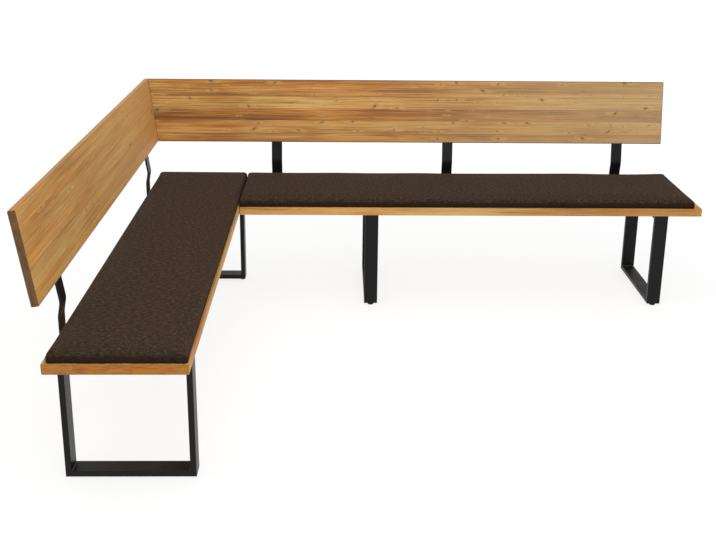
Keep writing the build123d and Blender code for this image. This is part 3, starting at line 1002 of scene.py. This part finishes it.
@dataclass
class SteelWork:
    """The leg frames with their weld beads, the backrest supports and the corner plates."""

    coat: PowderCoat = PowderCoat()
    bead_coat: PowderCoat = PowderCoat(black=(0.060, 0.052, 0.047))
    bead_radius: float = 0.0034
    bead_margin: float = 0.003  # bare steel at each end
    bead_steps: int = 72  # rings along a bead
    bead_points: int = 7  # round the quarter of a ring that shows
    bead_end: float = 0.25  # share of the radius at its ends
    bead_least: float = 0.92  # share of the radius between ripples
    bead_sink: float = 0.1  # share of the radius in the corner
    ripple: float = 0.0046  # from one ripple to the next
    ripple_height: float = 0.13  # share of the radius
    ripple_lag: float = 0.35  # share of a ripple
    wobble: float = 0.10  # share of the radius
    wobble_scale: Pair = (40.0, 220.0)  # from corner to corner and along a bead

    def dress(self) -> list[str]:
        """Coat all the steel and weld each leg frame.

        Returns:
            The names of the steel pieces and the beads.
        """
        endings = ("_post", "_rail", "_support", "_plate_front", "_plate_rear")
        names = paint(endings, self.coat.material("powder_coat"))
        bead_coat = self.bead_coat.material("bead_coat")
        return names + [self.weld(leg, bead_coat).name for leg in Leg]

    def weld(self, leg: Leg, coat: bpy.types.Material) -> bpy.types.Object:
        """Lay a rippled bead in each inner corner of a leg frame.

        Args:
            leg: the leg frame.
            coat: the material of the beads.

        Returns:
            The beads, as one piece.
        """
        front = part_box(f"{leg.value}_leg_front_post")
        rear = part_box(f"{leg.value}_leg_rear_post")
        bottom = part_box(f"{leg.value}_leg_bottom_rail")
        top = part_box(f"{leg.value}_leg_top_rail")
        depth = (sum(rear, Vector()) / 2 - sum(front, Vector()) / 2).normalized()
        width = UP.cross(depth)
        half_post, half_width = (abs((front[1] - front[0]).dot(axis)) / 2 for axis in (depth, width))
        half = width * (half_width - self.bead_margin)
        vertices: list[Vector] = []
        faces: Faces = []
        for post, inward in ((front, depth), (rear, -depth)):
            for level, upward in ((bottom[1].z, UP), (top[0].z, -UP)):
                corner = sum(post, Vector()) / 2 + inward * half_post
                corner.z = level
                faces += self._bead_faces(len(vertices))
                vertices += self._bead_points(corner, inward, upward, half)
        beads = piece(f"{leg.value}_leg_weld_beads", vertices, faces, coat)
        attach(beads, "bench")
        return beads

    def _bead_points(self, corner: Vector, inward: Vector, upward: Vector, half: Vector) -> list[Vector]:
        """Set the points of one bead.

        Args:
            corner: the middle of the corner line.
            inward: away from the post.
            upward: away from the rail.
            half: half of the bead, along the corner line.

        Returns:
            The points, ring by ring.
        """
        reach, width = half.length, half.normalized()
        corner_scale, along_scale = self.wobble_scale
        points: list[Vector] = []
        for step in range(self.bead_steps + 1):
            along = -reach + 2 * reach * step / self.bead_steps
            taper = min(1.0, (reach - abs(along)) / self.bead_radius + self.bead_end)
            wobble = self.wobble * noise.noise(corner * corner_scale + width * (along * along_scale))
            ripple = self.ripple_height * abs(math.sin(math.pi * along / self.ripple))
            radius = self.bead_radius * taper * (self.bead_least + ripple + wobble)
            for point in range(self.bead_points):
                turn = math.pi / 2 * point / (self.bead_points - 1)
                lag = self.ripple_lag * self.ripple * math.sin(2 * turn)
                direction = inward * math.cos(turn) + upward * math.sin(turn)
                points.append(corner + width * (along + lag * taper) + direction * radius)
            points.append(corner + width * along - (inward + upward) * (self.bead_sink * self.bead_radius))
        return points

    def _bead_faces(self, start: int) -> Faces:
        """Join the points of one bead.

        Args:
            start: the number of its first point.

        Returns:
            Its faces.
        """
        ring_size = self.bead_points + 1
        last = start + self.bead_steps * ring_size
        faces: Faces = []
        for low in range(start, last, ring_size):
            high = low + ring_size
            for point in range(ring_size):
                after = (point + 1) % ring_size
                faces.append((low + point, low + after, high + after, high + point))
        faces.append(tuple(reversed(range(start, start + ring_size))))
        faces.append(tuple(range(last, last + ring_size)))
        return faces


@dataclass
class Fittings:
    """The levelling feet and the fasteners."""

    plastic: MouldedPlastic = MouldedPlastic()
    zinc: ZincPlate = ZincPlate()

    def dress(self) -> list[str]:
        """Finish the feet and the fasteners, and return their names."""
        feet = paint(("_foot",), self.plastic.material("foot_plastic"))
        return feet + paint(("_stud", "_nuts", "_screws"), self.zinc.material("zinc_plate"))


class Proud(NamedTuple):
    """How far a cushion stands out past its CAD solid on each side."""

    left: float
    right: float
    front: float
    back: float
    top: float


@dataclass(frozen=True)
class CoverCloth:
    """How a cover behaves while it fills, under the names of Blender's cloth settings."""

    quality: int = 6
    mass: float = 0.35
    tension_stiffness: float = 22.0
    compression_stiffness: float = 22.0
    shear_stiffness: float = 12.0
    bending_stiffness: float = 4.0
    use_pressure: bool = True
    uniform_pressure_force: float = 4.0


@dataclass
class SeatCushion:
    """A loose seat cushion: a sewn cover, swollen by the foam inside it."""

    side: Side
    fabric: bpy.types.Material
    proud: Proud
    corner_radius: float = 0.010
    edge_steps: tuple[float, ...] = (0.0, 0.005, 0.010, 0.016, 0.024)  # grid lines near an edge
    grid: float = 0.013  # between grid lines further in
    profile: tuple[Pair, ...] = (  # inset and height of each row, from the lower panel to the upper
        (0.0040, 0.0002),
        (0.0018, 0.0008),
        (0.0006, 0.0030),
        (0.0001, 0.0060),
        (0.0000, 0.0100),
        (0.0000, 0.0150),
        (0.0007, 0.0208),
        (0.0024, 0.0262),
        (0.0052, 0.0308),
        (0.0092, 0.0343),
        (0.0138, 0.0363),
    )
    seam_row: int = 5
    seam_depth: float = 0.0006
    crown: float = 0.0020  # rise of the upper panel
    crown_reach: float = 0.085  # from the edge inwards
    waver: float = 0.004  # unevenness of the upper panel
    waver_scale: float = 3.5  # changes per metre
    draw_in: float = 0.0008  # of the sides between the corners
    swell: float = 0.005  # the most that a point may move
    cloth: CoverCloth = CoverCloth()
    frames: int = 20

    def dress(self) -> list[str]:
        """Make the cushion in the space of its CAD solids.

        Returns:
            Its name, as a list of one.
        """
        name = f"{self.side.value}_cushion"
        low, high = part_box(f"{name}_cover")
        low = low - Vector((self.proud.left, self.proud.front, 0.0))
        high = high + Vector((self.proud.right, self.proud.back, self.proud.top))
        vertices, faces, seam = self._cover(low, high)
        cushion = piece(f"{name}_sewn_cover", vertices, faces, self.fabric)
        self._fill(cushion)
        self._settle(cushion, low, high, seam)
        form = cushion.modifiers.new("soft_form", "SUBSURF")
        form.levels = 1
        form.render_levels = 1
        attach(cushion, name)
        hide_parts(f"{name}_cover", f"{name}_foam")
        return [cushion.name]

    def _lines(self, length: float) -> list[float]:
        """Space grid lines along one edge, closer near both ends.

        Args:
            length: the edge's length.

        Returns:
            The places of the lines.
        """
        ends = list(self.edge_steps)
        inner = length - 2 * ends[-1]
        count = max(2, round(inner / self.grid))
        middle = [ends[-1] + inner * step / count for step in range(1, count)]
        return [*ends, *middle, *(length - step for step in reversed(ends))]

    def _outline(self, x: float, y: float, size: Vector, inset: float) -> Pair:
        """Round the corners of the grid, draw its sides in and set it in from the edge.

        Args:
            x: place along the grid's first edge.
            y: place along its second edge.
            size: the grid's size.
            inset: distance of this row from the cushion's widest row.

        Returns:
            The place on the rounded panel.
        """
        radius = self.corner_radius
        centre_x = min(max(x, radius), size.x - radius)
        centre_y = min(max(y, radius), size.y - radius)
        over_x, over_y = (x - centre_x) / radius, (y - centre_y) / radius
        round_x = centre_x + radius * over_x * math.sqrt(1 - over_y * over_y / 2)
        round_y = centre_y + radius * over_y * math.sqrt(1 - over_x * over_x / 2)
        share_x, share_y = x / size.x, y / size.y
        pull_x = (inset + self.draw_in * 4 * share_y * (1 - share_y)) * (1 - 2 * share_x)
        pull_y = (inset + self.draw_in * 4 * share_x * (1 - share_x)) * (1 - 2 * share_y)
        return round_x + pull_x, round_y + pull_y

    def _cover(self, low: Vector, high: Vector) -> tuple[list[Vector], Faces, list[int]]:
        """Make the cover before it is filled.

        Args:
            low: the lowest corner of the cushion's space.
            high: its highest corner.

        Returns:
            The points, the faces and the numbers of the seam's points.
        """
        size = high - low
        lines_x, lines_y = self._lines(size.x), self._lines(size.y)
        count_x, count_y = len(lines_x), len(lines_y)
        vertices: list[Vector] = []
        faces: Faces = []

        def point(column: int, row: int, inset: float, height: float) -> int:
            """Add one point.

            Args:
                column: number of its grid line along the first edge.
                row: number of its grid line along the second edge.
                inset: distance from the cushion's widest row.
                height: height above the seat.

            Returns:
                The point's number.
            """
            x, y = self._outline(lines_x[column], lines_y[row], size, inset)
            vertices.append(low + Vector((x, y, height)))
            return len(vertices) - 1

        def rise(column: int, row: int) -> float:
            """Find how far the crown lifts a point of the upper panel.

            Args:
                column: number of its grid line along the first edge.
                row: number of its grid line along the second edge.

            Returns:
                The lift.
            """
            x, y = lines_x[column], lines_y[row]
            edge = min(x, size.x - x, y, size.y - y)
            uneven = self.waver * noise.noise(Vector((x, y, size.x)) * self.waver_scale)
            return self.crown * math.sin(math.pi / 2 * min(1.0, edge / self.crown_reach)) + uneven

        spots = [(column, row) for column in range(count_x) for row in range(count_y)]
        (low_inset, low_height), *sides, (high_inset, high_height) = self.profile
        bottom = {spot: point(*spot, low_inset, low_height) for spot in spots}
        top = {spot: point(*spot, high_inset, high_height + rise(*spot)) for spot in spots}
        for column in range(count_x - 1):
            for row in range(count_y - 1):
                corners = ((column, row), (column + 1, row), (column + 1, row + 1), (column, row + 1))
                faces.append(tuple(top[corner] for corner in corners))
                faces.append(tuple(bottom[corner] for corner in reversed(corners)))

        rim = [(column, 0) for column in range(count_x)]
        rim += [(count_x - 1, row) for row in range(1, count_y)]
        rim += [(column, count_y - 1) for column in range(count_x - 2, -1, -1)]
        rim += [(0, row) for row in range(count_y - 2, 0, -1)]
        rows = [[bottom[spot] for spot in rim]]
        rows += [[point(*spot, inset, height) for spot in rim] for inset, height in sides]
        rows += [[top[spot] for spot in rim]]
        for lower, upper in zip(rows, rows[1:]):
            for number in range(len(rim)):
                after = (number + 1) % len(rim)
                faces.append((lower[number], lower[after], upper[after], upper[number]))
        return vertices, faces, rows[self.seam_row]

    def _fill(self, cushion: bpy.types.Object) -> None:
        """Swell the cover by simulated pressure, and keep the result in its mesh.

        Args:
            cushion: the cushion.
        """
        before = coordinates(cushion.data)
        filling = cushion.modifiers.new("filling", "CLOTH")
        for name, value in vars(self.cloth).items():
            setattr(filling.settings, name, value)
        filling.settings.effector_weights.gravity = 0.0
        filling.collision_settings.use_collision = False
        filling.point_cache.frame_start = 1
        filling.point_cache.frame_end = self.frames
        scene = bpy.context.scene
        for step in range(1, self.frames + 1):
            scene.frame_set(step)
        filled = cushion.evaluated_get(bpy.context.evaluated_depsgraph_get())
        moved = coordinates(filled.data) - before
        cushion.modifiers.remove(filling)
        scene.frame_set(1)
        far = np.linalg.norm(moved, axis=1, keepdims=True)
        share = self.swell * np.tanh(far / self.swell) / np.maximum(far, TINY)
        store(cushion.data, before + moved * share)

    def _settle(self, cushion: bpy.types.Object, low: Vector, high: Vector, seam: Sequence[int]) -> None:
        """Draw the seam in, fit the cushion to its space and rest it on its seat.

        Args:
            cushion: the cushion.
            low: the lowest corner of its space.
            high: its highest corner.
            seam: numbers of the seam's points.
        """
        points = coordinates(cushion.data)
        flat, sewn = points[:, :2], np.array(seam)
        middle, half = np.array((low + high) / 2)[:2], np.array((high - low) / 2)[:2]
        outward = flat[sewn] - middle
        share = np.clip((np.abs(outward) - half + self.corner_radius) / self.corner_radius, 0.0, 1.0)
        push = np.sign(outward) * share
        push /= np.maximum(np.linalg.norm(push, axis=1, keepdims=True), TINY)
        flat[sewn] -= push * self.seam_depth
        reach = np.abs(flat - middle).max(axis=0)
        flat[:] = middle + (flat - middle) * (half / reach)
        points[:, 2] = np.clip(points[:, 2], low.z, high.z)
        store(cushion.data, points)


@dataclass(frozen=True)
class Lamp:
    """A square lamp."""

    name: str
    place: tuple[float, float, float]
    target: tuple[float, float, float]
    size: float
    power: float  # in watts

    def hang(self) -> bpy.types.Object:
        """Add the lamp to the scene.

        Returns:
            The lamp.
        """
        light = bpy.data.lights.new(self.name, "AREA")
        light.size = self.size
        light.energy = self.power
        lamp = bpy.data.objects.new(self.name, light)
        lamp.location = self.place
        lamp.rotation_mode = "QUATERNION"
        lamp.rotation_quaternion = (Vector(self.target) - Vector(self.place)).to_track_quat("-Z", "Y")
        bpy.context.scene.collection.objects.link(lamp)
        return lamp


@dataclass
class Studio:
    """A pale floor, soft light from above and the camera."""

    image_width: float = 716.0  # in pixels
    sensor: float = 36.0  # in millimetres
    focal: float = 935.5  # in pixels
    rise: float = -120.0  # shift of the picture, in pixels
    eye: tuple[float, float, float] = (0.4449, -3.9339, 1.8440)  # from the inner corner, on the floor
    yaw: float = 0.02002  # to the right, in radians
    pitch: float = 0.27314  # downwards
    roll: float = 0.01079  # of the picture
    floor_size: float = 60.0
    floor_colour: Colour = (0.93, 0.93, 0.93)
    white: float = 1.05  # of the floor, to the camera
    glow: float = 0.78  # share of that white that shadows don't reach
    shadow_reach: Pair = (1.7, 2.9)  # from the middle of the floor
    daylight: float = 0.75  # from all round
    lamps: tuple[Lamp, ...] = (
        Lamp("overhead_lamp", (-0.6, -0.8, 3.6), (0.0, 0.3, 0.4), size=3.4, power=40.0),
        Lamp("front_lamp", (0.8, -4.4, 2.4), (0.1, 0.6, 0.7), size=2.6, power=70.0),
    )

    def build(self) -> list[str]:
        """Set up the camera, the floor and the light, and return their names."""
        made = (self.camera(), self.floor(), self.backdrop(), *(lamp.hang() for lamp in self.lamps))
        return [item.name for item in made]

    def camera(self) -> bpy.types.Object:
        """Set up the camera and make it the scene's own.

        Returns:
            The camera.
        """
        seat_low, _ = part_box("long_seat_board")
        corner = Vector((seat_low.x, seat_low.y, 0.0))
        view = Vector((
            math.sin(self.yaw) * math.cos(self.pitch),
            math.cos(self.yaw) * math.cos(self.pitch),
            -math.sin(self.pitch),
        ))
        level = Vector((math.cos(self.yaw), -math.sin(self.yaw), 0.0))
        upright = level.cross(view)
        right = level * math.cos(self.roll) + upright * math.sin(self.roll)
        up = upright * math.cos(self.roll) - level * math.sin(self.roll)
        lens = bpy.data.cameras.new("photo_camera")
        lens.sensor_width = self.sensor
        lens.lens = self.focal * self.sensor / self.image_width
        lens.shift_y = self.rise / self.image_width
        camera = bpy.data.objects.new("photo_camera", lens)
        turn = Matrix((right, up, -view)).transposed().to_4x4()
        camera.matrix_world = Matrix.Translation(corner + Vector(self.eye)) @ turn
        bpy.context.scene.collection.objects.link(camera)
        bpy.context.scene.camera = camera
        return camera

    def floor(self) -> bpy.types.Object:
        """Lay the floor, white to the camera but for the bench's shadows.

        Returns:
            The floor.
        """
        half = self.floor_size / 2
        corners = [Vector((x * half, y * half, 0.0)) for x, y in ((-1, -1), (1, -1), (1, 1), (-1, 1))]
        shader = MaterialShader("studio_floor")
        matt = shader.surface(base_color=opaque(self.floor_colour), roughness=1.0, specular_ior_level=0.0)
        away = shader.node("ShaderNodeVectorMath", {"operation": "LENGTH"}, {0: shader.place()}, "Value")
        glow = away.rise(*self.shadow_reach).ranged(self.glow, 1.0 - self.glow)
        white = shader.node("ShaderNodeEmission", links={"Strength": self.white})
        links = {0: self._seen(shader) * glow, 1: Signal(shader, shader.principled.outputs[0]), 2: white}
        blend = shader.node("ShaderNodeMixShader", links=links)
        shader.feed(shader.tree.nodes["Material Output"].inputs["Surface"], blend)
        floor = piece("studio_floor", corners, [(0, 1, 2, 3)], matt)
        return floor

    def backdrop(self) -> bpy.types.World:
        """Light the bench softly from all round, white to the camera.

        Returns:
            The world.
        """
        world = bpy.data.worlds.new("studio_world")
        bpy.context.scene.world = world
        world.use_nodes = True
        shader = Shader(world.node_tree)
        strength = self._seen(shader).ranged(self.daylight, 1.0 - self.daylight)
        links = {"Color": (1.0, 1.0, 1.0, 1.0), "Strength": strength}
        light = shader.node("ShaderNodeBackground", links=links)
        shader.feed(shader.tree.nodes["World Output"].inputs["Surface"], light)
        return world

    @staticmethod
    def _seen(shader: Shader) -> Signal:
        """Return 1 for rays from the camera, from gloss and through glass."""
        camera = shader.node("ShaderNodeLightPath", output="Is Camera Ray")
        return camera.larger(camera.output("Is Glossy Ray")).larger(camera.output("Is Transmission Ray"))


def piece(
    name: str, vertices: Sequence[Vector], faces: Sequence[Sequence[int]], material: bpy.types.Material
) -> bpy.types.Object:
    """Make a smooth-shaded mesh object.

    Args:
        name: the object's name.
        vertices: its points.
        faces: its faces.
        material: its finish.

    Returns:
        The object, linked to the scene.
    """
    mesh = bpy.data.meshes.new(name)
    mesh.from_pydata(vertices, [], faces)
    mesh.validate()
    mesh.polygons.foreach_set("use_smooth", [True] * len(mesh.polygons))
    mesh.materials.append(material)
    made = bpy.data.objects.new(name, mesh)
    bpy.context.scene.collection.objects.link(made)
    return made


def coordinates(mesh: bpy.types.Mesh) -> np.ndarray:
    """Read a mesh's points, as rows."""
    return np.array([vertex.co for vertex in mesh.vertices])


def store(mesh: bpy.types.Mesh, points: np.ndarray) -> None:
    """Write rows of points back to a mesh."""
    mesh.vertices.foreach_set("co", points.ravel())
    mesh.update()


def paint(endings: tuple[str, ...], material: bpy.types.Material) -> list[str]:
    """Give a finish to the CAD nodes whose names end in one of some words.

    Args:
        endings: the words.
        material: the finish.

    Returns:
        The nodes' names.
    """
    names = [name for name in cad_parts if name.endswith(endings)]
    for name in names:
        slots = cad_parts[name].data.materials
        slots.clear()
        slots.append(material)
    return names


def main() -> None:
    """Set up the studio and dress each sub-assembly of the bench."""
    logging.basicConfig(level=logging.INFO, format="%(name)s: %(message)s")
    bpy.context.scene.view_settings.view_transform = "Standard"
    for name in Studio().build():
        LOG.info("%s set up", name)
    fabric = WovenFabric().material("woven_fabric")
    long_proud = Proud(left=0.0020, right=0.005, front=0.0005, back=0.003, top=0.006)
    short_proud = Proud(left=0.003, right=0.0020, front=0.0015, back=0.003, top=0.006)
    assemblies = (
        PlankBoards(),
        SteelWork(),
        Fittings(),
        SeatCushion(Side.LONG, fabric, long_proud),
        SeatCushion(Side.SHORT, fabric, short_proud),
    )
    for assembly in assemblies:
        for name in assembly.dress():
            LOG.info("%s dressed", name)


if __name__ == "__main__":
    main()
